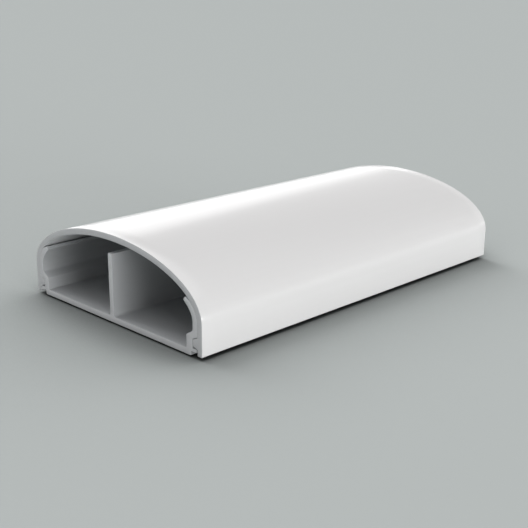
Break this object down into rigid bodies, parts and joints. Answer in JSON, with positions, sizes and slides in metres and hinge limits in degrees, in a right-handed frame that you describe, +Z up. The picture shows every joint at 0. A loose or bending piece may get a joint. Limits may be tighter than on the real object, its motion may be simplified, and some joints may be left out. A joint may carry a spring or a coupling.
{
  "type": "cable raceway",
  "caption": "Half-round floor cable raceway: a two-channel base with a central divider and an arched clip-on cover, cut square at both ends.",
  "frame": {"origin": "centre of the base's underside, halfway along the stock", "axes": "+X across the width, +Y along the stock, +Z up out of the floor. The cut end that the picture shows is at -Y and the side that it shows is at +X"},
  "size_m": [0.06, 0.103, 0.0203],
  "materials": {
    "base": "satin",
    "cover": "gloss"
  },
  "bodies": {
    "root": {"base": "base", "cover": "cover"}
  },
  "joints": []
}
